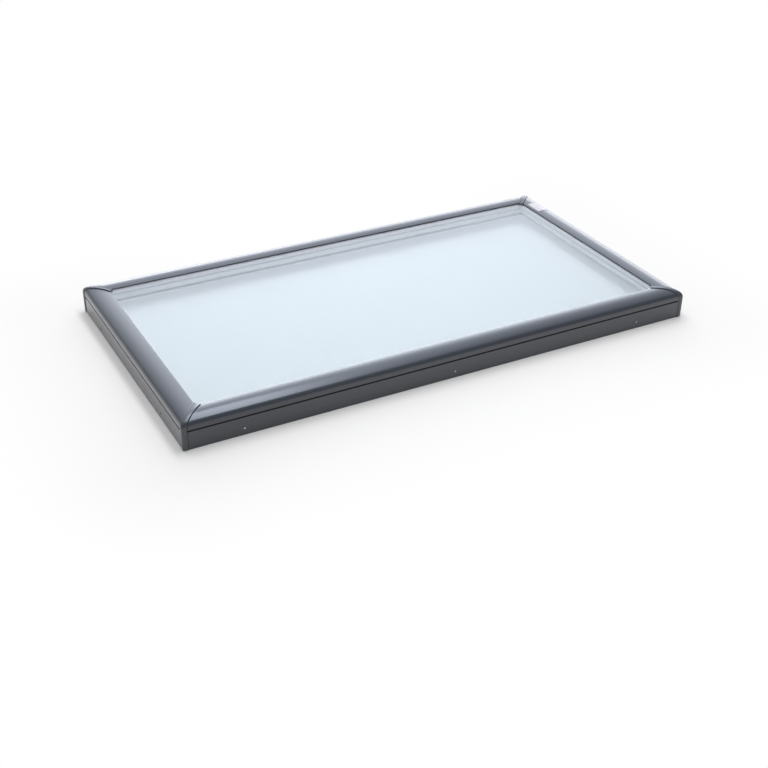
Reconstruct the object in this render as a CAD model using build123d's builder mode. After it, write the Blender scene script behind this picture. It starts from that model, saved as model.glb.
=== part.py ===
from build123d import *

import math
import os

os.makedirs("parts", exist_ok=True)

# A fixed skylight for a curb: four painted rails with skirts around a sealed double pane,
# a white inner frame below the glass and a moulded key at each corner.
# Millimetres, +Z up. The origin is under the middle of the frame, at the feet of the corner keys.
# Offsets are measured inwards from the outer face of the rails.

# Frame over the rails
frame_length = 1305.0
frame_width = 695.0

# Seat on the curb
curb_overlap = 31.0
curb_seal_thickness = 3.0
curb_seal_offset = 25.0
curb_seal_width = 22.0

# Skirt: wall, return leg on the inner frame, upstand behind the cladding
skirt_wall = 1.6
skirt_lift = 1.0
skirt_edge_radius = 1.0
skirt_leg = 13.0
skirt_upstand_offset = 3.4
skirt_upstand_height = 9.0

# Holes in the skirt for the screws into the curb
curb_hole_radius = 2.5
curb_hole_height = 16.7
curb_hole_end_distance = 137.0

# Cladding: wall thickness, the arcs of its crown and its lip over the glass
cladding_wall = 1.6
shoulder_radius = 14.0
shoulder_turn = 62.0
crown_radius = 50.0
inner_radius = 80.0
lip_offset = 50.5
lip_edge_radius = 1.2
shadow_groove = 3.2
clip_wall = 1.4
clip_clearance = 0.2
clip_engagement = 4.2

# Inner frame: hollow bar with a ledge for the glass and an upstand at its edge
bar_outer_offset = 4.0
bar_inner_offset = 50.0
bar_height = 10.1
bar_wall = 2.2
bar_edge_radius = 1.0
bar_upstand_offset = 28.0
bar_upstand_wall = 4.0
bar_upstand_height = 17.0
bar_web_offset = 28.0

# Cleats in the corners of the inner frame
cleat_leg = 45.0
cleat_clearance = 0.2

# Sealed double pane
glass_edge_clearance = 4.0
outer_pane_thickness = 3.2
inner_pane_thickness = 5.4
cavity_height = 12.7
edge_seal_width = 6.0
spacer_width = 7.0

# Glazing tape below the pane, gasket above it, blocks at its edge
tape_thickness = 2.4
tape_inset = 5.0
tape_width = 8.0
gasket_height = 0.5
gasket_width = 10.0
gasket_clearance = 0.1
block_length = 60.0
block_height = 16.0
block_shares = (-0.5, 0.5)

# Screws that hold the skirts to the inner frame
screw_offset = 9.2
screw_radius = 1.75
screw_length = 7.0
screw_head_radius = 3.4
screw_head_height = 2.2
screw_head_edge = 0.9
screw_clearance = 0.1
recess_length = 3.6
recess_width = 0.9
recess_depth = 1.2
long_screw_shares = (-0.8, -0.4, 0.0, 0.4, 0.8)
short_screw_shares = (-0.7, 0.0, 0.7)

# Corner keys: strip over the mitre, its nose on the glass and the tongues inside the rails
key_half_width = 11.0
key_proud = 2.0
key_gap = 0.6
key_corner_radius = 5.0
key_foot_radius = 4.0
key_clearance = 0.2
tongue_wall = 1.6
tongue_length = 25.0
skirt_tongue_end = 4.0
crown_tongue_start = 8.0
crown_tongue_end = 19.0

# Blank plate on the right-hand rail
plate_length = 54.0
plate_width = 32.0
plate_offset = 12.0
plate_thickness = 0.5
plate_bond = 0.1
plate_end_distance = 101.0

# One overrun for every cut
overrun = 5.0

# Heights of the stack, from the curb up
seat_z = curb_overlap
bar_z = seat_z + curb_seal_thickness
ledge_z = bar_z + bar_height
shelf_z = ledge_z - skirt_wall
inner_pane_z = ledge_z + tape_thickness
cavity_z = inner_pane_z + inner_pane_thickness
outer_pane_z = cavity_z + cavity_height
glass_top_z = outer_pane_z + outer_pane_thickness
lip_under_z = glass_top_z + gasket_height
cladding_z = ledge_z + shadow_groove
bar_upstand_z = ledge_z + bar_upstand_height

# Offsets that follow from the ones above
bar_upstand_end = bar_upstand_offset + bar_upstand_wall
glass_offset = bar_upstand_end + glass_edge_clearance
spacer_offset = glass_offset + edge_seal_width
tape_offset = glass_offset + tape_inset
clip_offset = skirt_upstand_offset + skirt_wall + clip_clearance
key_backing = cladding_wall + key_clearance + tongue_wall
rail_set_back = key_half_width + key_gap

# The crown's arcs run tangent to each other, from the wall over the crest to the lip
turn = math.radians(shoulder_turn)
crest_offset = shoulder_radius * (1 - math.cos(turn)) + crown_radius * math.cos(turn)
crest_rise = shoulder_radius * math.sin(turn) + crown_radius * (1 - math.sin(turn))


def inner_drop(lift, offset):
    """Fall of the crown's inner arc below its crest, for a surface lifted off the cladding's face."""
    radius = inner_radius + lift
    return radius - math.sqrt(radius**2 - (offset - crest_offset) ** 2)


crest_z = lip_under_z + cladding_wall + inner_drop(-cladding_wall, lip_offset)
wall_top_z = crest_z - crest_rise
top_z = crest_z + key_proud


class Side:
    """One side of the frame, with its working planes and the corner where it starts."""

    def __init__(self, name, corner_name, turned, half, reach):
        self.name = name
        self.corner_name = corner_name
        self.half = half
        up = Vector(0, 0, 1)
        along = Vector(1, 0, 0).rotate(Axis.Z, turned)
        inward = Vector(0, 1, 0).rotate(Axis.Z, turned)
        middle = inward * -reach
        corner = middle - along * half
        self.section = Plane(middle, x_dir=inward, z_dir=along)
        self.plan = Plane(middle, x_dir=along, z_dir=up)
        self.face = Plane(middle, x_dir=along, z_dir=-inward)
        self.corner_section = Plane(corner, x_dir=inward, z_dir=along)
        self.corner_plan = Plane(corner, x_dir=along, z_dir=up)
        self.mitre = Plane(corner, x_dir=up, z_dir=along - inward)


half_length = frame_length / 2
half_width = frame_width / 2
sides = [
    Side("front", "front_left", 0, half_length, half_width),
    Side("right", "front_right", 90, half_width, half_length),
    Side("back", "back_right", 180, half_length, half_width),
    Side("left", "back_left", 270, half_width, half_length),
]


def under_crown(lift, bottom, reach):
    """Region below the crown, lifted off the cladding's face, out to a reach past the crest."""
    inner_turn = math.degrees(math.asin((reach - crest_offset) / (inner_radius + lift)))
    with BuildSketch() as region:
        with BuildLine():
            wall = Line((-lift, bottom), (-lift, wall_top_z))
            shoulder = JernArc(wall @ 1, wall % 1, shoulder_radius + lift, -shoulder_turn)
            crown = JernArc(shoulder @ 1, shoulder % 1, crown_radius + lift, shoulder_turn - 90)
            inner = JernArc(crown @ 1, crown % 1, inner_radius + lift, -inner_turn)
            Polyline(inner @ 1, (reach, bottom), (-lift, bottom))
        make_face()
    return region.sketch


def span(left, low, right, high):
    """Rectangle between two offsets and two heights."""
    with BuildSketch() as region:
        with Locations(((left + right) / 2, (low + high) / 2)):
            Rectangle(right - left, high - low)
    return region.sketch


def mitred_bar(section, side, set_back):
    """A section carried along one side, its ends cut parallel to the mitres at a set-back from them."""
    deep = max(bar_inner_offset, lip_offset) + overrun
    outer = side.half - set_back + overrun
    inner = side.half - set_back - deep
    with BuildPart() as bar:
        with BuildSketch(side.section):
            add(section)
        extrude(amount=side.half, both=True)
        with BuildSketch(side.plan):
            Polygon((-outer, -overrun), (outer, -overrun), (inner, deep), (-inner, deep), align=None)
        extrude(amount=top_z + overrun, mode=Mode.INTERSECT)
    return bar.part


def corner_half(section, side, width, reach):
    """A section carried from the mitre along one side for a width, its nose cut square to the mitre."""
    start = key_proud + overrun
    with BuildPart() as half:
        with BuildSketch(side.corner_section.offset(-start)):
            add(section)
        extrude(amount=start + reach + width + overrun)
        with BuildSketch(side.corner_plan):
            Polygon(
                (-start, -start),
                (width - start, -start),
                (reach + width, reach),
                (reach + width / 2, reach + width / 2),
                align=None,
            )
        extrude(amount=top_z + overrun, mode=Mode.INTERSECT)
    return half.part


def screw_places(side):
    """Places of a side's skirt screws along it, at the screws' offset."""
    shares = long_screw_shares if side.half == half_length else short_screw_shares
    return [(share * side.half, screw_offset) for share in shares]


def write(part, name):
    """Label a finished piece and write its file."""
    part.label = name
    export_step(part, f"parts/{name}.step")


# Skirt section: wall over the curb's side, leg on the inner frame, upstand behind the cladding
with BuildSketch() as skirt_section:
    add(span(0, skirt_lift, skirt_wall, ledge_z))
    add(span(0, shelf_z, skirt_leg, ledge_z))
    upstand_end = skirt_upstand_offset + skirt_wall
    add(span(skirt_upstand_offset, shelf_z, upstand_end, ledge_z + skirt_upstand_height))
    outer_edge = skirt_section.vertices().group_by(Axis.X)[0].sort_by(Axis.Y)[-1]
    fillet(outer_edge, radius=skirt_edge_radius)

# Cladding section: a wall that follows the crown from the shadow groove to the lip, and its clip
with BuildSketch() as cladding_section:
    add(under_crown(0, cladding_z, lip_offset))
    add(under_crown(-cladding_wall, cladding_z, lip_offset), mode=Mode.SUBTRACT)
    lip_edge = cladding_section.vertices().group_by(Axis.X)[-1].sort_by(Axis.Y)[-1]
    fillet(lip_edge, radius=lip_edge_radius)
with BuildSketch() as clip_section:
    clip_z = ledge_z + skirt_upstand_height - clip_engagement
    add(under_crown(-cladding_wall / 2, cladding_z, lip_offset))
    add(span(clip_offset, clip_z, clip_offset + clip_wall, crest_z), mode=Mode.INTERSECT)
with BuildSketch() as clipped_cladding_section:
    add(cladding_section.sketch)
    add(clip_section.sketch)

# Inner frame section: base with two chambers, ledge for the glass, upstand outside the glass
chamber_low = bar_z + bar_wall
chamber_high = ledge_z - bar_wall
outer_chamber_start = skirt_leg + bar_wall
inner_chamber_start = bar_web_offset + bar_wall
inner_chamber_end = bar_inner_offset - bar_wall
with BuildSketch() as bar_section:
    add(span(bar_outer_offset, bar_z, bar_inner_offset, shelf_z))
    add(span(skirt_leg, bar_z, bar_inner_offset, ledge_z))
    add(span(bar_upstand_offset, bar_z, bar_upstand_end, bar_upstand_z))
    add(span(outer_chamber_start, chamber_low, bar_web_offset, chamber_high), mode=Mode.SUBTRACT)
    add(span(inner_chamber_start, chamber_low, inner_chamber_end, chamber_high), mode=Mode.SUBTRACT)
    room_edges = bar_section.vertices().group_by(Axis.X)[-1]
    fillet(room_edges, radius=bar_edge_radius)

# Curb seal section: a foam strip under the inner frame
curb_seal_section = span(curb_seal_offset, seat_z, curb_seal_offset + curb_seal_width, bar_z)

# Gasket section: a wedge between the glass and the lip
with BuildSketch() as gasket_section:
    back_offset = lip_offset - gasket_width
    back_z = crest_z - cladding_wall - inner_drop(-cladding_wall, back_offset) - gasket_clearance
    Polygon(
        (back_offset, glass_top_z),
        (lip_offset, glass_top_z),
        (lip_offset, lip_under_z - gasket_clearance),
        (back_offset, back_z),
        align=None,
    )

# Long bars, one of each kind to a side
for side in sides:
    end_hole = side.half - curb_hole_end_distance
    hole_places = [(-end_hole, curb_hole_height), (end_hole, curb_hole_height)]
    if side.half == half_length:
        hole_places.append((0, curb_hole_height))

    # Inner frame bar: white hollow bar, blind holes for the skirt's screws
    with BuildPart() as inner_bar:
        add(mitred_bar(bar_section.sketch, side, 0))
        with BuildSketch(side.plan.offset(shelf_z)):
            with Locations(*screw_places(side)):
                Circle(screw_radius + screw_clearance)
        extrude(amount=-(screw_length + screw_clearance), mode=Mode.SUBTRACT)
    write(inner_bar.part, f"inner_frame_{side.name}")

    # Skirt: painted bar with holes for the curb screws and for its own screws
    with BuildPart() as skirt:
        add(mitred_bar(skirt_section.sketch, side, rail_set_back))
        with BuildSketch(side.face.offset(overrun)):
            with Locations(*hole_places):
                Circle(curb_hole_radius)
        extrude(amount=-(overrun + bar_outer_offset), mode=Mode.SUBTRACT)
        with BuildSketch(side.plan.offset(ledge_z)):
            with Locations(*screw_places(side)):
                Circle(screw_radius + screw_clearance)
        extrude(amount=-skirt_wall, mode=Mode.SUBTRACT)
    write(skirt.part, f"skirt_{side.name}")

    # Cladding: painted bar that clips over the skirt's upstand
    with BuildPart() as cladding:
        add(mitred_bar(clipped_cladding_section.sketch, side, rail_set_back))
    write(cladding.part, f"cladding_{side.name}")

    # Curb seal: foam strip stuck under the inner frame
    with BuildPart() as curb_seal:
        add(mitred_bar(curb_seal_section, side, 0))
    write(curb_seal.part, f"curb_seal_{side.name}")

# Skirt screws: pan heads with a cross recess, seated on the skirt's leg
with BuildPart() as skirt_screws:
    for side in sides:
        with BuildSketch(side.plan.offset(ledge_z)):
            with Locations(*screw_places(side)):
                Circle(screw_head_radius)
        extrude(amount=screw_head_height)
        with BuildSketch(side.plan.offset(ledge_z)):
            with Locations(*screw_places(side)):
                Circle(screw_radius)
        extrude(amount=-(skirt_wall + screw_length))
    head_rims = skirt_screws.edges().group_by(Axis.Z)[-1]
    fillet(head_rims, radius=screw_head_edge)
    for side in sides:
        with BuildSketch(side.plan.offset(ledge_z + screw_head_height)):
            with Locations(*screw_places(side)):
                Rectangle(recess_length, recess_width)
                Rectangle(recess_width, recess_length)
        extrude(amount=-recess_depth, mode=Mode.SUBTRACT)
write(skirt_screws.part, "skirt_screws")

# Corner cleats: elbows inside the inner frame's chambers
cleat_section = span(
    inner_chamber_start + cleat_clearance,
    chamber_low + cleat_clearance,
    inner_chamber_end - cleat_clearance,
    chamber_high - cleat_clearance,
)
for side in sides:
    with BuildPart() as cleat:
        add(corner_half(cleat_section, side, cleat_leg, bar_inner_offset))
        mirror(about=side.mitre)
    write(cleat.part, f"corner_cleat_{side.corner_name}")

# Sealed double pane: two sheets of glass, a spacer between them and a seal around it
with BuildPart() as inner_pane:
    with BuildSketch(Plane.XY.offset(inner_pane_z)):
        Rectangle(frame_length - 2 * glass_offset, frame_width - 2 * glass_offset)
    extrude(amount=inner_pane_thickness)
write(inner_pane.part, "inner_pane")

with BuildPart() as outer_pane:
    with BuildSketch(Plane.XY.offset(outer_pane_z)):
        Rectangle(frame_length - 2 * glass_offset, frame_width - 2 * glass_offset)
    extrude(amount=outer_pane_thickness)
write(outer_pane.part, "outer_pane")


def flat_ring(offset, width, low, high):
    """A rectangular ring of even width, starting at an offset from the rails' outer face."""
    with BuildPart() as ring:
        with BuildSketch(Plane.XY.offset(low)):
            Rectangle(frame_length - 2 * offset, frame_width - 2 * offset)
            inner = offset + width
            Rectangle(frame_length - 2 * inner, frame_width - 2 * inner, mode=Mode.SUBTRACT)
        extrude(amount=high - low)
    return ring.part


write(flat_ring(spacer_offset, spacer_width, cavity_z, outer_pane_z), "spacer_bar")
write(flat_ring(glass_offset, edge_seal_width, cavity_z, outer_pane_z), "edge_seal")
write(flat_ring(tape_offset, tape_width, ledge_z, inner_pane_z), "glazing_tape")

# Setting blocks: rubber pads between the pane's edge and the inner frame's upstand
with BuildPart() as setting_blocks:
    for side in sides:
        block_middle = (bar_upstand_end + glass_offset) / 2
        with BuildSketch(side.plan.offset(ledge_z)):
            with Locations(*[(share * side.half, block_middle) for share in block_shares]):
                Rectangle(block_length, glass_edge_clearance)
        extrude(amount=block_height)
write(setting_blocks.part, "setting_blocks")

# Glazing gasket: one rubber ring with joined mitres
with BuildPart() as gasket:
    for side in sides:
        add(mitred_bar(gasket_section.sketch, side, 0))
write(gasket.part, "glazing_gasket")

# Corner key sections: the strip over the mitre, and the tongues that go into the rails
nose_offset = lip_offset + key_clearance
nose_end = lip_offset + key_half_width
with BuildSketch() as strip_section:
    add(under_crown(key_proud, 0, nose_end))
    add(under_crown(-cladding_wall, 0, nose_offset), mode=Mode.SUBTRACT)
    add(span(nose_offset, 0, nose_end, glass_top_z + key_clearance), mode=Mode.SUBTRACT)
with BuildSketch() as backing_section:
    add(under_crown(-cladding_wall / 2, 0, lip_offset))
    add(under_crown(-key_backing, 0, lip_offset), mode=Mode.SUBTRACT)
    add(span(0, 0, crown_tongue_end, crest_z), mode=Mode.INTERSECT)
with BuildSketch() as crown_tongue_section:
    add(under_crown(-(cladding_wall + key_clearance), 0, lip_offset))
    add(under_crown(-key_backing, 0, lip_offset), mode=Mode.SUBTRACT)
    add(span(crown_tongue_start, 0, crown_tongue_end, crest_z), mode=Mode.INTERSECT)
skirt_tongue_section = span(
    skirt_wall + key_clearance,
    skirt_tongue_end,
    skirt_wall + key_clearance + tongue_wall,
    shelf_z - key_clearance,
)

# Corner keys: dark moulded pieces that cover the mitres and carry the rails' ends
for side in sides:
    with BuildPart() as key:
        add(corner_half(strip_section.sketch, side, key_half_width, lip_offset))
        add(corner_half(backing_section.sketch, side, key_half_width, lip_offset))
        tongue_width = key_half_width + tongue_length
        add(corner_half(crown_tongue_section.sketch, side, tongue_width, lip_offset))
        add(corner_half(skirt_tongue_section, side, tongue_width, lip_offset))
        mirror(about=side.mitre)
        with BuildSketch():
            RectangleRounded(frame_length + 2 * key_proud, frame_width + 2 * key_proud, key_corner_radius)
        extrude(amount=top_z + overrun, mode=Mode.INTERSECT)
        foot_rim = key.faces().sort_by(Axis.Z)[0].edges()
        outer_rim = foot_rim.sort_by(lambda edge: -edge.center().length)[:3]
        fillet(outer_rim, radius=key_foot_radius)
    write(key.part, f"corner_key_{side.corner_name}")

# Blank plate: a thin plain plate stuck to the right-hand cladding
right = sides[1]
with BuildSketch() as plate_section:
    add(under_crown(plate_bond + plate_thickness, 0, lip_offset))
    add(under_crown(plate_bond, 0, lip_offset), mode=Mode.SUBTRACT)
    add(span(plate_offset, 0, plate_offset + plate_width, top_z), mode=Mode.INTERSECT)
with BuildPart() as plate:
    plate_middle = right.half - plate_end_distance
    with BuildSketch(right.section.offset(plate_middle)):
        add(plate_section.sketch)
    extrude(amount=plate_length / 2, both=True)
write(plate.part, "blank_plate")
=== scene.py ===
import math

import bpy
import numpy as np
from mathutils import Matrix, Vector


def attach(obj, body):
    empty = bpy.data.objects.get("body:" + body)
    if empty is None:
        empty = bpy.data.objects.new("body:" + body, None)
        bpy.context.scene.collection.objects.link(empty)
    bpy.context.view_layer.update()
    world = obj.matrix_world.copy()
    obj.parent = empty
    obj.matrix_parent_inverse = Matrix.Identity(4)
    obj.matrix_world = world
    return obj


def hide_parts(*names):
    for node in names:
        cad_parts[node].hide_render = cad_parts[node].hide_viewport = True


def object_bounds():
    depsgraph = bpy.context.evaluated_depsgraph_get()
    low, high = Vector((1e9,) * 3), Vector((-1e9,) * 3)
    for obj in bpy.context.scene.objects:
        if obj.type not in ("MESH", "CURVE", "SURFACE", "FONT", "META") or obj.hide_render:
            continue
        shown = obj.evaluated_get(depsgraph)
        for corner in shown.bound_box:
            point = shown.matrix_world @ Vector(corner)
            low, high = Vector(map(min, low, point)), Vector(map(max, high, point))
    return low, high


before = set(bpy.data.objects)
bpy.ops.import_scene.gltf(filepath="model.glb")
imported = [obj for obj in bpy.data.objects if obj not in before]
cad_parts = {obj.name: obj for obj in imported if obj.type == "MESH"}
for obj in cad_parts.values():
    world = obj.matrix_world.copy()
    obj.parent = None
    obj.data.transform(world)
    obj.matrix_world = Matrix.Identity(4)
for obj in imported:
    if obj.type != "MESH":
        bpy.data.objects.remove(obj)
cad_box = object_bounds()
scene = bpy.context.scene
scene.view_settings.view_transform = "Standard"


# Camera: stands off the left end of the long front side and looks down on the glass.
# Its lens is a little longer than a normal one, and it leans by less than a degree.
camera_place = (-1.3005, -2.3956, 1.4523)
camera_heading = math.radians(-28.59)
camera_tilt = math.radians(90 - 31.30)
camera_lean = math.radians(0.795)
camera_sensor = 36.0
camera_lens = 58.07

camera_data = bpy.data.cameras.new("camera")
camera_data.sensor_width = camera_sensor
camera_data.lens = camera_lens
camera = bpy.data.objects.new("camera", camera_data)
scene.collection.objects.link(camera)
camera.location = camera_place
camera.rotation_euler = (
    Matrix.Rotation(camera_heading, 3, "Z")
    @ Matrix.Rotation(camera_tilt, 3, "X")
    @ Matrix.Rotation(camera_lean, 3, "Z")
).to_euler()
scene.camera = camera


# Floor and studio light: a matt white floor, a long softbox over the skylight, and a pale room.
# The room is brightest low down behind the skylight and to its right, bright overhead and dim in front.
# Its light is a little cool and the floor's white a little warm, so that the floor shows neutral.
floor_half = 20.0
floor_colour = "#fcf3e6"
floor_glow = 0.16
glow_reach = 0.38
softbox_place = (0.11, 0.18, 2.1)
softbox_size = (0.52, 1.8)
softbox_brightness = 7.0
room_colour = "#e7f0ff"
room_dim = 0.46
room_lights = [
    {"heading": 5, "rise": 3, "narrowing": 22.0, "brightness": 4.0, "colour": "#f2f6ff"},
    {"heading": 28, "rise": 3, "narrowing": 22.0, "brightness": 1.5, "colour": "#f2f6ff"},
    {"heading": 50, "rise": 3, "narrowing": 22.0, "brightness": 2.1, "colour": "#f2f6ff"},
    {"heading": 25, "rise": 27, "narrowing": 12.0, "brightness": 0.68, "colour": "#e7f0ff"},
    {"heading": 20, "rise": 65, "narrowing": 6.0, "brightness": 1.45, "colour": "#e7f0ff"},
]


def linear(colour):
    """Linear RGBA of an sRGB hex colour."""
    srgb = np.array([int(colour[i : i + 2], 16) for i in (1, 3, 5)]) / 255
    rgb = np.where(srgb <= 0.04045, srgb / 12.92, ((srgb + 0.055) / 1.055) ** 2.4)
    return (*rgb.tolist(), 1.0)


def add_node(tree, kind, inputs, **settings):
    """Adds a node with its settings. Each input takes a value, or a link from another node's output."""
    made = tree.nodes.new(kind)
    for name, value in settings.items():
        setattr(made, name, value)
    for name, value in inputs.items():
        socket = next(s for s in made.inputs if name in (s.identifier, s.name))
        if isinstance(value, bpy.types.NodeSocket):
            tree.links.new(value, socket)
        else:
            socket.default_value = value
    return made


def new_material(name):
    """A material with an empty node tree."""
    material = bpy.data.materials.new(name)
    material.use_nodes = True
    material.node_tree.nodes.clear()
    return material, material.node_tree


# Matt white board: where it is seen it glows, a little by the skylight and fully at the reach, so that
# it reads as white and keeps its shadow. From below it is clear, to show the skylight's underside.
matt_board, tree = new_material("matt_white_board")
rays = add_node(tree, "ShaderNodeLightPath", {})
seen = add_node(
    tree,
    "ShaderNodeMath",
    {"Value": rays.outputs["Is Camera Ray"], "Value_001": rays.outputs["Is Glossy Ray"]},
    operation="MAXIMUM",
)
seen = add_node(
    tree,
    "ShaderNodeMath",
    {"Value": seen.outputs[0], "Value_001": rays.outputs["Is Transmission Ray"]},
    operation="MAXIMUM",
)
place = add_node(tree, "ShaderNodeTexCoord", {})
mirrored = add_node(
    tree,
    "ShaderNodeVectorMath",
    {"Vector": place.outputs["Object"]},
    operation="ABSOLUTE",
)
outside = add_node(
    tree,
    "ShaderNodeVectorMath",
    {"Vector": mirrored.outputs["Vector"], "Vector_001": cad_box[1]},
    operation="SUBTRACT",
)
outside = add_node(
    tree,
    "ShaderNodeVectorMath",
    {"Vector": outside.outputs["Vector"], "Vector_001": (0.0, 0.0, 0.0)},
    operation="MAXIMUM",
)
distance = add_node(
    tree,
    "ShaderNodeVectorMath",
    {"Vector": outside.outputs["Vector"]},
    operation="LENGTH",
)
strength = add_node(
    tree,
    "ShaderNodeMapRange",
    {
        "Value": distance.outputs["Value"],
        "From Min": 0.0,
        "From Max": glow_reach,
        "To Min": floor_glow,
        "To Max": 1.0,
    },
    interpolation_type="SMOOTHSTEP",
)
glow_share = add_node(
    tree,
    "ShaderNodeMath",
    {"Value": seen.outputs[0], "Value_001": strength.outputs["Result"]},
    operation="MULTIPLY",
)
matt = add_node(tree, "ShaderNodeBsdfDiffuse", {"Color": linear(floor_colour)})
glow = add_node(tree, "ShaderNodeEmission", {"Color": linear("#ffffff"), "Strength": 1.0})
lit = add_node(
    tree,
    "ShaderNodeMixShader",
    {"Fac": glow_share.outputs[0], "Shader": matt.outputs[0], "Shader_001": glow.outputs[0]},
)
below = add_node(tree, "ShaderNodeNewGeometry", {})
clear = add_node(tree, "ShaderNodeBsdfTransparent", {})
board = add_node(
    tree,
    "ShaderNodeMixShader",
    {"Fac": below.outputs["Backfacing"], "Shader": lit.outputs[0], "Shader_001": clear.outputs[0]},
)
add_node(tree, "ShaderNodeOutputMaterial", {"Surface": board.outputs[0]})

floor_mesh = bpy.data.meshes.new("floor")
floor_corners = np.array([[-1, -1, 0], [1, -1, 0], [1, 1, 0], [-1, 1, 0]]) * floor_half
floor_mesh.from_pydata(floor_corners.tolist(), [], [(0, 1, 2, 3)])
floor_mesh.materials.append(matt_board)
floor = bpy.data.objects.new("floor", floor_mesh)
scene.collection.objects.link(floor)

# The softbox faces down. Its power in watts is pi times its area times the brightness that it shows.
# It stays out of the picture, and the light that comes back up out of the panes doesn't show it.
lamp = bpy.data.lights.new("softbox", "AREA")
lamp.shape = "RECTANGLE"
lamp.size, lamp.size_y = softbox_size
lamp.color = linear(room_colour)[:3]
lamp.energy = math.pi * lamp.size * lamp.size_y * softbox_brightness
softbox = bpy.data.objects.new("softbox", lamp)
scene.collection.objects.link(softbox)
softbox.location = softbox_place
softbox.visible_camera = False
softbox.visible_transmission = False

# Each of the room's lights is a soft spot on its walls, at a heading from the back towards the right.
room = bpy.data.worlds.new("room")
room.use_nodes = True
tree = room.node_tree
tree.nodes.clear()
way = add_node(tree, "ShaderNodeTexCoord", {})
shine = np.array(linear(room_colour)[:3]) * room_dim
for light in room_lights:
    heading, rise = math.radians(light["heading"]), math.radians(light["rise"])
    aim = (math.sin(heading) * math.cos(rise), math.cos(heading) * math.cos(rise), math.sin(rise))
    facing = add_node(
        tree,
        "ShaderNodeVectorMath",
        {"Vector": way.outputs["Generated"], "Vector_001": aim},
        operation="DOT_PRODUCT",
    )
    ahead = add_node(
        tree,
        "ShaderNodeMath",
        {"Value": facing.outputs["Value"], "Value_001": 0.0},
        operation="MAXIMUM",
    )
    spot = add_node(
        tree,
        "ShaderNodeMath",
        {"Value": ahead.outputs[0], "Value_001": light["narrowing"]},
        operation="POWER",
    )
    shine = add_node(
        tree,
        "ShaderNodeVectorMath",
        {
            "Vector": spot.outputs[0],
            "Vector_001": np.array(linear(light["colour"])[:3]) * light["brightness"],
            "Vector_002": shine,
        },
        operation="MULTIPLY_ADD",
    ).outputs["Vector"]
walls = add_node(tree, "ShaderNodeBackground", {"Color": shine, "Strength": 1.0})
backdrop = add_node(tree, "ShaderNodeBackground", {"Color": linear("#ffffff"), "Strength": 1.0})
rays = add_node(tree, "ShaderNodeLightPath", {})
shown = add_node(
    tree,
    "ShaderNodeMixShader",
    {
        "Fac": rays.outputs["Is Camera Ray"],
        "Shader": walls.outputs[0],
        "Shader_001": backdrop.outputs[0],
    },
)
add_node(tree, "ShaderNodeOutputWorld", {"Surface": shown.outputs[0]})
scene.world = room


# Inner frame: four hollow bars of extruded white PVC, mitred and welded at the corners.
# The glass lies on their ledge, and their inner face shows through it.
mm = 0.001
sides = ["front", "right", "back", "left"]


def finish_nodes(material, *names):
    """Gives CAD nodes their finish."""
    for name in names:
        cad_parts[name].material_slots[0].material = material


# White rigid PVC: extruded, smooth with a soft gloss. Faint waves from the die run over it.
die_wave = 14 * mm
white_pvc, tree = new_material("extruded_white_pvc")
place = add_node(tree, "ShaderNodeTexCoord", {})
waves = add_node(
    tree,
    "ShaderNodeTexNoise",
    {"Vector": place.outputs["Object"], "Scale": 1 / die_wave, "Detail": 3.0},
)
gloss = add_node(
    tree,
    "ShaderNodeMapRange",
    {"Value": waves.outputs["Fac"], "From Min": 0.3, "From Max": 0.7, "To Min": 0.3, "To Max": 0.42},
)
relief = add_node(
    tree,
    "ShaderNodeBump",
    {"Height": waves.outputs["Fac"], "Strength": 0.15, "Distance": 0.1 * mm},
)
surface = add_node(
    tree,
    "ShaderNodeBsdfPrincipled",
    {
        "Base Color": linear("#eae6e1"),
        "Roughness": gloss.outputs["Result"],
        "IOR": 1.53,
        "Normal": relief.outputs["Normal"],
    },
)
add_node(tree, "ShaderNodeOutputMaterial", {"Surface": surface.outputs["BSDF"]})
finish_nodes(white_pvc, *[f"inner_frame_{side}" for side in sides])


# Corner cleats: elbows of moulded nylon pushed into the inner frame's chambers before the welding.
# They show only at a cut, so they are plain dark grey with the speckle of their glass filling, drawn
# coarser than it is.
filler_grain = 2.5 * mm
cleat_nylon, tree = new_material("glass_filled_nylon")
place = add_node(tree, "ShaderNodeTexCoord", {})
speckle = add_node(
    tree,
    "ShaderNodeTexNoise",
    {"Vector": place.outputs["Object"], "Scale": 1 / filler_grain, "Detail": 2.0},
)
tint = add_node(
    tree,
    "ShaderNodeMix",
    {
        "Factor_Float": speckle.outputs["Fac"],
        "A_Color": linear("#333538"),
        "B_Color": linear("#4a4d50"),
    },
    data_type="RGBA",
)
surface = add_node(
    tree,
    "ShaderNodeBsdfPrincipled",
    {"Base Color": tint.outputs[2], "Roughness": 0.55, "IOR": 1.53},
)
add_node(tree, "ShaderNodeOutputMaterial", {"Surface": surface.outputs["BSDF"]})
corners = ["front_left", "front_right", "back_right", "back_left"]
finish_nodes(cleat_nylon, *[f"corner_cleat_{corner}" for corner in corners])


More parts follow.
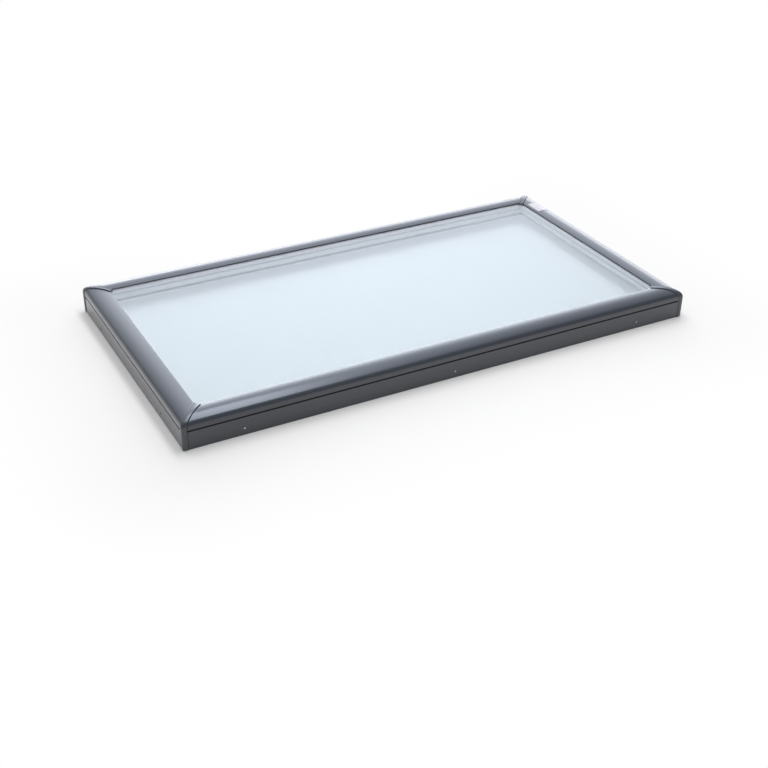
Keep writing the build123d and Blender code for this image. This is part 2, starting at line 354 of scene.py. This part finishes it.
# Curb seals: strips of pale grey closed-cell rubber foam stuck under the inner frame, squeezed on the
# curb. The cut skin is matt and shows the rims of the cells, drawn coarser than they are.
foam_cell = 2.2 * mm
rubber_foam, tree = new_material("closed_cell_rubber_foam")
place = add_node(tree, "ShaderNodeTexCoord", {})
cells = add_node(
    tree,
    "ShaderNodeTexVoronoi",
    {"Vector": place.outputs["Object"], "Scale": 1 / foam_cell},
)
tint = add_node(
    tree,
    "ShaderNodeMix",
    {
        "Factor_Float": cells.outputs["Distance"],
        "A_Color": linear("#b4b6b9"),
        "B_Color": linear("#d4d6d8"),
    },
    data_type="RGBA",
)
relief = add_node(
    tree,
    "ShaderNodeBump",
    {"Height": cells.outputs["Distance"], "Strength": 0.6, "Distance": 0.5 * mm},
)
surface = add_node(
    tree,
    "ShaderNodeBsdfPrincipled",
    {
        "Base Color": tint.outputs[2],
        "Roughness": 0.9,
        "IOR": 1.5,
        "Normal": relief.outputs["Normal"],
    },
)
add_node(tree, "ShaderNodeOutputMaterial", {"Surface": surface.outputs["BSDF"]})
finish_nodes(rubber_foam, *[f"curb_seal_{side}" for side in sides])


# Glazing tape: a white foam tape with a sticky skin, laid on the ledge all round.
# The sealed pane is pressed into it. It is matt, its grain drawn coarser than it is.
tape_grain = 4 * mm
foam_tape, tree = new_material("white_foam_tape")
place = add_node(tree, "ShaderNodeTexCoord", {})
grain = add_node(
    tree,
    "ShaderNodeTexNoise",
    {"Vector": place.outputs["Object"], "Scale": 1 / tape_grain, "Detail": 2.0},
)
tint = add_node(
    tree,
    "ShaderNodeMix",
    {"Factor_Float": grain.outputs["Fac"], "A_Color": linear("#ded6d4"), "B_Color": linear("#eae2e0")},
    data_type="RGBA",
)
surface = add_node(
    tree,
    "ShaderNodeBsdfPrincipled",
    {"Base Color": tint.outputs[2], "Roughness": 0.7, "IOR": 1.5},
)
add_node(tree, "ShaderNodeOutputMaterial", {"Surface": surface.outputs["BSDF"]})
finish_nodes(foam_tape, "glazing_tape")


# Sealed pane: an outer sheet of toughened glass and a laminated inner one, held apart by the spacer.
# Coated float glass: clear and barely tinted, it mirrors the cool room and so reads as a pale blue.
# Light for the shadows passes straight through it.
float_glass, tree = new_material("coated_float_glass")
surface = add_node(
    tree,
    "ShaderNodeBsdfPrincipled",
    {
        "Base Color": linear("#eaedee"),
        "Roughness": 0.0,
        "IOR": 1.52,
        "Transmission Weight": 1.0,
    },
)
rays = add_node(tree, "ShaderNodeLightPath", {})
through = add_node(tree, "ShaderNodeBsdfTransparent", {"Color": linear("#f2f5f6")})
pane = add_node(
    tree,
    "ShaderNodeMixShader",
    {
        "Fac": rays.outputs["Is Shadow Ray"],
        "Shader": surface.outputs["BSDF"],
        "Shader_001": through.outputs["BSDF"],
    },
)
add_node(tree, "ShaderNodeOutputMaterial", {"Surface": pane.outputs["Shader"]})
finish_nodes(float_glass, "inner_pane", "outer_pane")


# Spacer: a bar of pale grey silicone foam between the two sheets, all round near their edge.
# It is matt, with fine pores, drawn coarser than they are.
pore = 3 * mm
silicone_foam, tree = new_material("pale_silicone_foam")
place = add_node(tree, "ShaderNodeTexCoord", {})
pores = add_node(
    tree,
    "ShaderNodeTexNoise",
    {"Vector": place.outputs["Object"], "Scale": 1 / pore, "Detail": 2.0},
)
tint = add_node(
    tree,
    "ShaderNodeMix",
    {"Factor_Float": pores.outputs["Fac"], "A_Color": linear("#e0d7d5"), "B_Color": linear("#ebe2e0")},
    data_type="RGBA",
)
surface = add_node(
    tree,
    "ShaderNodeBsdfPrincipled",
    {"Base Color": tint.outputs[2], "Roughness": 0.75, "IOR": 1.43},
)
add_node(tree, "ShaderNodeOutputMaterial", {"Surface": surface.outputs["BSDF"]})
finish_nodes(silicone_foam, "spacer_bar")


# Edge seal, setting blocks and glazing gasket: black rubber, matt with a faint grey bloom. The seal is
# poured around the spacer, the blocks are cut pads beside the glass, and the gasket is a strip pressed
# on it under the lip.
bloom_size = 9 * mm
black_rubber, tree = new_material("black_epdm_rubber")
place = add_node(tree, "ShaderNodeTexCoord", {})
bloom = add_node(
    tree,
    "ShaderNodeTexNoise",
    {"Vector": place.outputs["Object"], "Scale": 1 / bloom_size, "Detail": 4.0},
)
tint = add_node(
    tree,
    "ShaderNodeMix",
    {"Factor_Float": bloom.outputs["Fac"], "A_Color": linear("#141517"), "B_Color": linear("#26282b")},
    data_type="RGBA",
)
surface = add_node(
    tree,
    "ShaderNodeBsdfPrincipled",
    {"Base Color": tint.outputs[2], "Roughness": 0.6, "IOR": 1.5},
)
add_node(tree, "ShaderNodeOutputMaterial", {"Surface": surface.outputs["BSDF"]})
finish_nodes(black_rubber, "edge_seal", "setting_blocks", "glazing_gasket")


# Skirts: four painted aluminium bars around the curb, screwed down on the inner frame by a leg.
# Their plain outer faces show below the shadow groove.
peel_wave = 9 * mm
streak_width = 5 * mm
streak_length = 400 * mm


# Baked polyester paint: a smooth dark grey with a clear gloss over it, on an extruded bar. The ripple
# of the paint is finer than a pixel, so it is drawn coarser.
def baked_paint(name, along):
    """Paint over extruded aluminium, its faint die lines running along one axis."""
    material, tree = new_material(name)
    place = add_node(tree, "ShaderNodeTexCoord", {})
    drawn = [1 / streak_width] * 3
    drawn[along] = 1 / streak_length
    stretched = add_node(tree, "ShaderNodeMapping", {"Vector": place.outputs["Object"], "Scale": drawn})
    lines = add_node(
        tree,
        "ShaderNodeTexNoise",
        {"Vector": stretched.outputs["Vector"], "Scale": 1.0, "Detail": 2.0},
    )
    peel = add_node(
        tree,
        "ShaderNodeTexNoise",
        {"Vector": place.outputs["Object"], "Scale": 1 / peel_wave, "Detail": 2.0},
    )
    tint = add_node(
        tree,
        "ShaderNodeMix",
        {
            "Factor_Float": lines.outputs["Fac"],
            "A_Color": linear("#262930"),
            "B_Color": linear("#2e3138"),
        },
        data_type="RGBA",
    )
    gloss = add_node(
        tree,
        "ShaderNodeMapRange",
        {
            "Value": lines.outputs["Fac"],
            "From Min": 0.3,
            "From Max": 0.7,
            "To Min": 0.34,
            "To Max": 0.44,
        },
    )
    relief = add_node(
        tree,
        "ShaderNodeBump",
        {"Height": peel.outputs["Fac"], "Strength": 0.12, "Distance": 0.15 * mm},
    )
    surface = add_node(
        tree,
        "ShaderNodeBsdfPrincipled",
        {
            "Base Color": tint.outputs[2],
            "Roughness": gloss.outputs["Result"],
            "IOR": 1.45,
            "Normal": relief.outputs["Normal"],
            "Coat Weight": 1.0,
            "Coat Roughness": 0.26,
            "Coat IOR": 1.5,
        },
    )
    add_node(tree, "ShaderNodeOutputMaterial", {"Surface": surface.outputs["BSDF"]})
    return material


paint_along_x = baked_paint("baked_paint_long_bars", along=0)
paint_along_y = baked_paint("baked_paint_short_bars", along=1)
side_paint = {
    "front": paint_along_x,
    "right": paint_along_y,
    "back": paint_along_x,
    "left": paint_along_y,
}
for side in sides:
    finish_nodes(side_paint[side], f"skirt_{side}")


# Skirt screws: pan heads of stainless steel that hold the skirts' legs, hidden under the claddings.
# The steel is bright, and its tumbled finish leaves it a little cloudy.
cloud_size = 3 * mm
stainless_steel, tree = new_material("tumbled_stainless_steel")
place = add_node(tree, "ShaderNodeTexCoord", {})
cloud = add_node(
    tree,
    "ShaderNodeTexNoise",
    {"Vector": place.outputs["Object"], "Scale": 1 / cloud_size, "Detail": 2.0},
)
gloss = add_node(
    tree,
    "ShaderNodeMapRange",
    {"Value": cloud.outputs["Fac"], "From Min": 0.3, "From Max": 0.7, "To Min": 0.25, "To Max": 0.4},
)
surface = add_node(
    tree,
    "ShaderNodeBsdfPrincipled",
    {"Base Color": linear("#c8ccd2"), "Metallic": 1.0, "Roughness": gloss.outputs["Result"]},
)
add_node(tree, "ShaderNodeOutputMaterial", {"Surface": surface.outputs["BSDF"]})
finish_nodes(stainless_steel, "skirt_screws")


# Claddings: four painted aluminium bars with a rounded crown, clipped over the skirts' upstands.
# Their inner lip presses the gasket on the glass, and a shadow groove parts them from the skirts.
half_length = 652.5 * mm
half_width = 347.5 * mm
cladding_foot = 47.3 * mm
cladding_wall = 1.6 * mm
crest_offset = 30.902 * mm
crest_height = 72.389 * mm
shoulder_radius = 14 * mm
shoulder_turn = math.radians(62)
crown_radius = 50 * mm
inner_radius = 80 * mm
lip_offset = 50.5 * mm
lip_round = 1.2 * mm
clip_offset = 5.2 * mm
clip_wall = 1.4 * mm
clip_foot = 48.9 * mm
rail_set_back = 11.6 * mm
edge_round = 0.4 * mm
edge_segments = 2
edge_limit = math.radians(40)
smooth_limit = math.radians(30)
quarter_turn = math.pi / 2
shoulder_points, crown_points, fall_points, lip_points = 22, 16, 12, 8
clip_inner_points, clip_outer_points = 6, 12

crown_rise = crown_radius * (1 - math.sin(shoulder_turn))
wall_top = crest_height - shoulder_radius * math.sin(shoulder_turn) - crown_rise


def shoulder_arc(lift, turns):
    """Shoulder points (offset, height) at turns from the wall: a circle centred at its top's height."""
    radius = shoulder_radius + lift
    return np.stack([shoulder_radius - radius * np.cos(turns), wall_top + radius * np.sin(turns)], -1)


def crown_arc(lift, turns):
    """Crown points (offset, height) at turns from the wall: a wider circle, level at the crest."""
    radius = crown_radius + lift
    centre = crest_height - crown_radius
    return np.stack([crest_offset - radius * np.cos(turns), centre + radius * np.sin(turns)], -1)


def inner_arc(lift, offsets):
    """Points (offset, height) at offsets past the crest: the widest circle, falling towards the lip."""
    radius = inner_radius + lift
    fall = radius - np.sqrt(radius**2 - (offsets - crest_offset) ** 2)
    return np.stack([offsets, crest_height + lift - fall], -1)


def lip_arc():
    """Lip edge points (offset, height): a small circle, from the slope of the fall to upright."""
    centre_offset = lip_offset - lip_round
    slope = math.asin((centre_offset - crest_offset) / (inner_radius - lip_round))
    turns = np.linspace(slope, quarter_turn, lip_points)
    centre = inner_arc(-lip_round, np.array([centre_offset]))
    return centre + lip_round * np.stack([np.sin(turns), np.cos(turns)], -1)


def shoulder_turn_at(lift, offset):
    """Turn from the wall at which the shoulder reaches an offset."""
    return math.acos((shoulder_radius - offset) / (shoulder_radius + lift))


def closed_bar(loops):
    """Points, side faces and end faces of a closed loop carried over stations.

    loops[station, point, xyz]: a side face joins two neighbours on a loop to their like on the next."""
    stations, around = loops.shape[:2]
    index = np.arange(stations * around).reshape(stations, around)
    near, far = index[:-1], index[1:]
    quads = np.stack([near, np.roll(near, -1, 1), np.roll(far, -1, 1), far], -1).reshape(-1, 4)
    ends = np.stack([index[0, ::-1], index[-1]])
    return loops.reshape(-1, 3), quads, ends


def new_piece(name, bars, material):
    """An object of one or more closed bars, smooth but for its sharp edges."""
    faces, start = [], 0
    for points, quads, ends in bars:
        faces += (start + quads).tolist() + (start + ends).tolist()
        start += len(points)
    mesh = bpy.data.meshes.new(name)
    mesh.from_pydata(np.concatenate([bar[0] for bar in bars]).tolist(), [], faces)
    mesh.polygons.foreach_set("use_smooth", np.ones(len(faces), bool))
    mesh.set_sharp_from_angle(angle=smooth_limit)
    mesh.materials.append(material)
    piece = bpy.data.objects.new(name, mesh)
    scene.collection.objects.link(piece)
    return piece


outer_line = np.concatenate(
    [
        [[0, cladding_foot]],
        shoulder_arc(0, np.linspace(0, shoulder_turn, shoulder_points)),
        crown_arc(0, np.linspace(shoulder_turn, quarter_turn, crown_points)[1:]),
        inner_arc(0, np.linspace(crest_offset, lip_offset - lip_round, fall_points)[1:-1]),
        lip_arc(),
    ]
)
clip_inner_turn = shoulder_turn_at(-cladding_wall, clip_offset + clip_wall)
clip_outer_turn = shoulder_turn_at(-cladding_wall, clip_offset)
under_line = np.concatenate(
    [
        inner_arc(-cladding_wall, np.linspace(lip_offset, crest_offset, fall_points)),
        crown_arc(-cladding_wall, np.linspace(quarter_turn, shoulder_turn, crown_points)[1:]),
        shoulder_arc(
            -cladding_wall, np.linspace(shoulder_turn, clip_inner_turn, clip_inner_points)[1:]
        ),
        [[clip_offset + clip_wall, clip_foot], [clip_offset, clip_foot]],
        shoulder_arc(-cladding_wall, np.linspace(clip_outer_turn, 0, clip_outer_points)),
        [[cladding_wall, cladding_foot]],
    ]
)
cladding_section = np.concatenate([outer_line, under_line])


def turned_to_side(along, offset, height, number):
    """Places on a side of the frame: along it from its middle, inwards from its outer face, and up."""
    half_across = half_width if number % 2 == 0 else half_length
    across = offset - half_across
    turns = [(along, across), (-across, along), (-along, -across), (across, -along)]
    x, y = turns[number]
    return np.stack([x, y, height + 0 * x], -1)


# A cladding runs from one mitred end to the other, and each point of its section ends on the mitre.
for number, side in enumerate(sides):
    half_along = half_length if number % 2 == 0 else half_width
    offset, height = cladding_section.T
    ends = np.array([1.0, -1.0])[:, None]
    along = ends * (half_along - rail_set_back - offset)
    loops = turned_to_side(along, offset + 0 * along, height, number)
    cladding = new_piece(f"rail_{side}", [closed_bar(loops)], side_paint[side])
    softened = cladding.modifiers.new("softened_edges", "BEVEL")
    softened.width = edge_round
    softened.segments = edge_segments
    softened.angle_limit = edge_limit
    softened.harden_normals = True
    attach(cladding, "root")
    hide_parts(f"cladding_{side}")


# Corner keys: strips of moulded dark ASA over the mitres, from a rounded foot up the corner and over
# the crown to a nose on the glass. Tongues on both sides reach into the bars' ends.
key_half = 11 * mm
key_proud = 2 * mm
key_backing = 3.4 * mm
key_corner = 5 * mm
key_foot = 4 * mm
key_edge = 1 * mm
key_nose = 1.5 * mm
nose_point = 0.5 * key_half
nose_under = 0.2 * mm
backing_end = 19 * mm
backing_step = 1 * mm
tongue_gap = 1.8 * mm
tongue_start = 8 * mm
tongue_reach = 36 * mm
low_start, low_end = 1.8 * mm, 3.4 * mm
low_foot, low_top = 4 * mm, 42.3 * mm
bend_points, flank_points, corner_points, under_points = 7, 4, 13, 15
key_wall_points, key_shoulder_points, key_crown_points, key_fall_points = 6, 18, 12, 12
tongue_points = 8


def round_the_corner(way):
    """Steps along the two sides for a way across the mitre: straight, with a quarter circle between."""
    turn = (np.clip(way / key_corner, -1, 1) + 1) * quarter_turn / 2
    first = np.where(way > key_corner, way, key_corner * (1 - np.cos(turn)))
    second = np.where(way < -key_corner, -way, key_corner * (1 - np.sin(turn)))
    return first, second


def strip_loops():
    """The key's strip: stations up the wall and over the crown, and at each the top and the underside.

    A point is the crown's own point, moved along the crown's normal by a lift. The lift is the key's,
    less a quarter circle at the foot, the nose and the two edges, and the underside follows the
    backing."""
    bend = np.linspace(0, quarter_turn, bend_points)
    edge = key_half - key_edge
    flat = np.concatenate(
        [
            np.linspace(-edge, -key_corner, flank_points),
            np.linspace(-key_corner, key_corner, corner_points)[1:-1],
            np.linspace(key_corner, edge, flank_points),
        ]
    )
    over = np.concatenate(
        [-edge - key_edge * np.cos(bend[:-1]), flat, edge + key_edge * np.sin(bend[1:])]
    )
    edge_drop = np.concatenate(
        [key_edge * (1 - np.sin(bend[:-1])), 0 * flat, key_edge * (1 - np.cos(bend[1:]))]
    )
    under = np.linspace(key_half, -key_half, under_points)
    way = np.concatenate([over, under])
    drop = np.concatenate([edge_drop, 0 * under])
    top = np.concatenate([np.ones(len(over), bool), np.zeros(len(under), bool)])

    foot_heights = key_foot * (1 - np.cos(bend))
    wall_heights = np.concatenate([foot_heights, np.linspace(key_foot, wall_top, key_wall_points)[1:]])
    wall_drop = np.concatenate([key_foot * (1 - np.sin(bend)), np.zeros(key_wall_points - 1)])
    turns = np.concatenate(
        [
            np.linspace(0, shoulder_turn, key_shoulder_points)[1:],
            np.linspace(shoulder_turn, quarter_turn, key_crown_points)[1:],
        ]
    )
    arcs = np.where((turns <= shoulder_turn)[:, None], shoulder_arc(0, turns), crown_arc(0, turns))
    reach = lip_offset + nose_point * (1 - np.abs(way) / key_half)
    shares = np.linspace(0, 1, key_fall_points)[1:, None]
    slope = crest_offset + (reach - key_nose - crest_offset) * shares
    nose = (reach - key_nose) + key_nose * np.sin(bend[1:, None])
    offsets = np.concatenate([slope, nose])
    tilt = np.arcsin((offsets - crest_offset) / inner_radius)
    past = inner_arc(0, offsets)

    def spread(column):
        return np.repeat(column[:, None], len(way), 1)

    base_offset = np.concatenate([spread(0 * wall_heights), spread(arcs[:, 0]), past[..., 0]])
    base_height = np.concatenate([spread(wall_heights), spread(arcs[:, 1]), past[..., 1]])
    normal_offset = np.concatenate(
        [spread(-1 + 0 * wall_heights), spread(-np.cos(turns)), np.sin(tilt)]
    )
    normal_height = np.concatenate([spread(0 * wall_heights), spread(np.sin(turns)), np.cos(tilt)])
    nose_drop = np.concatenate([np.zeros(len(shares)), key_nose * (1 - np.cos(bend[1:]))])
    end_drop = np.concatenate([wall_drop, 0 * turns, nose_drop])[:, None]
    backing = np.interp(
        base_offset,
        [0, backing_end, backing_end + backing_step, lip_offset],
        [key_backing, key_backing, cladding_wall, nose_under],
    )
    lift = np.where(top, key_proud - drop - end_drop, -backing)
    first, second = round_the_corner(way)
    offset = base_offset + lift * normal_offset
    return offset + first, offset + second, base_height + lift * normal_height


def tongue_loops(section):
    """A section (offset, height) carried from inside one bar to the mitre and on into the other."""
    way = np.array([tongue_reach, 0, -tongue_reach])[:, None]
    offset, height = section.T
    return offset + np.maximum(way, 0), offset + np.maximum(-way, 0), height + 0 * way


crown_offsets = np.linspace(tongue_start, backing_end, tongue_points)
crown_turns = np.arccos((crest_offset - crown_offsets) / (crown_radius - tongue_gap))
crown_tongue = np.concatenate(
    [crown_arc(-tongue_gap, crown_turns), crown_arc(-key_backing, crown_turns[::-1])]
)
low_tongue = np.array(
    [[low_start, low_foot], [low_start, low_top], [low_end, low_top], [low_end, low_foot]]
)
key_parts = [strip_loops(), tongue_loops(crown_tongue), tongue_loops(low_tongue)]

# Moulded ASA: a dense dark plastic, satin, with the fine grain that its mould was sparked with. The
# grain is drawn coarser than it is, so that it shows.
mould_grain = 3 * mm
moulded_asa, tree = new_material("moulded_asa")
place = add_node(tree, "ShaderNodeTexCoord", {})
grain = add_node(
    tree,
    "ShaderNodeTexNoise",
    {"Vector": place.outputs["Object"], "Scale": 1 / mould_grain, "Detail": 3.0},
)
tint = add_node(
    tree,
    "ShaderNodeMix",
    {"Factor_Float": grain.outputs["Fac"], "A_Color": linear("#272a30"), "B_Color": linear("#2f3238")},
    data_type="RGBA",
)
relief = add_node(
    tree,
    "ShaderNodeBump",
    {"Height": grain.outputs["Fac"], "Strength": 0.25, "Distance": 0.2 * mm},
)
surface = add_node(
    tree,
    "ShaderNodeBsdfPrincipled",
    {
        "Base Color": tint.outputs[2],
        "Roughness": 0.4,
        "IOR": 1.52,
        "Normal": relief.outputs["Normal"],
        "Coat Weight": 0.8,
        "Coat Roughness": 0.28,
        "Coat IOR": 1.5,
    },
)
add_node(tree, "ShaderNodeOutputMaterial", {"Surface": surface.outputs["BSDF"]})

# A corner's two steps run along the side that starts there and inwards from it.
for number, corner in enumerate(corners):
    half_along = half_length if number % 2 == 0 else half_width
    bars = [
        closed_bar(turned_to_side(first - half_along, second, height, number))
        for first, second, height in key_parts
    ]
    key = new_piece(f"key_{corner}", bars, moulded_asa)
    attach(key, "root")
    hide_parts(f"corner_key_{corner}")


# Blank plate: a thin plain plate of pale film stuck to the crown of the right-hand bar, near its far
# end. The film is satin, a little uneven from the adhesive under it.
film_wave = 12 * mm
pale_film, tree = new_material("pale_polyester_film")
place = add_node(tree, "ShaderNodeTexCoord", {})
uneven = add_node(
    tree,
    "ShaderNodeTexNoise",
    {"Vector": place.outputs["Object"], "Scale": 1 / film_wave, "Detail": 2.0},
)
tint = add_node(
    tree,
    "ShaderNodeMix",
    {"Factor_Float": uneven.outputs["Fac"], "A_Color": linear("#cdc0be"), "B_Color": linear("#dccfcc")},
    data_type="RGBA",
)
relief = add_node(
    tree,
    "ShaderNodeBump",
    {"Height": uneven.outputs["Fac"], "Strength": 0.2, "Distance": 0.1 * mm},
)
surface = add_node(
    tree,
    "ShaderNodeBsdfPrincipled",
    {
        "Base Color": tint.outputs[2],
        "Roughness": 0.4,
        "IOR": 1.6,
        "Normal": relief.outputs["Normal"],
    },
)
add_node(tree, "ShaderNodeOutputMaterial", {"Surface": surface.outputs["BSDF"]})
finish_nodes(pale_film, "blank_plate")
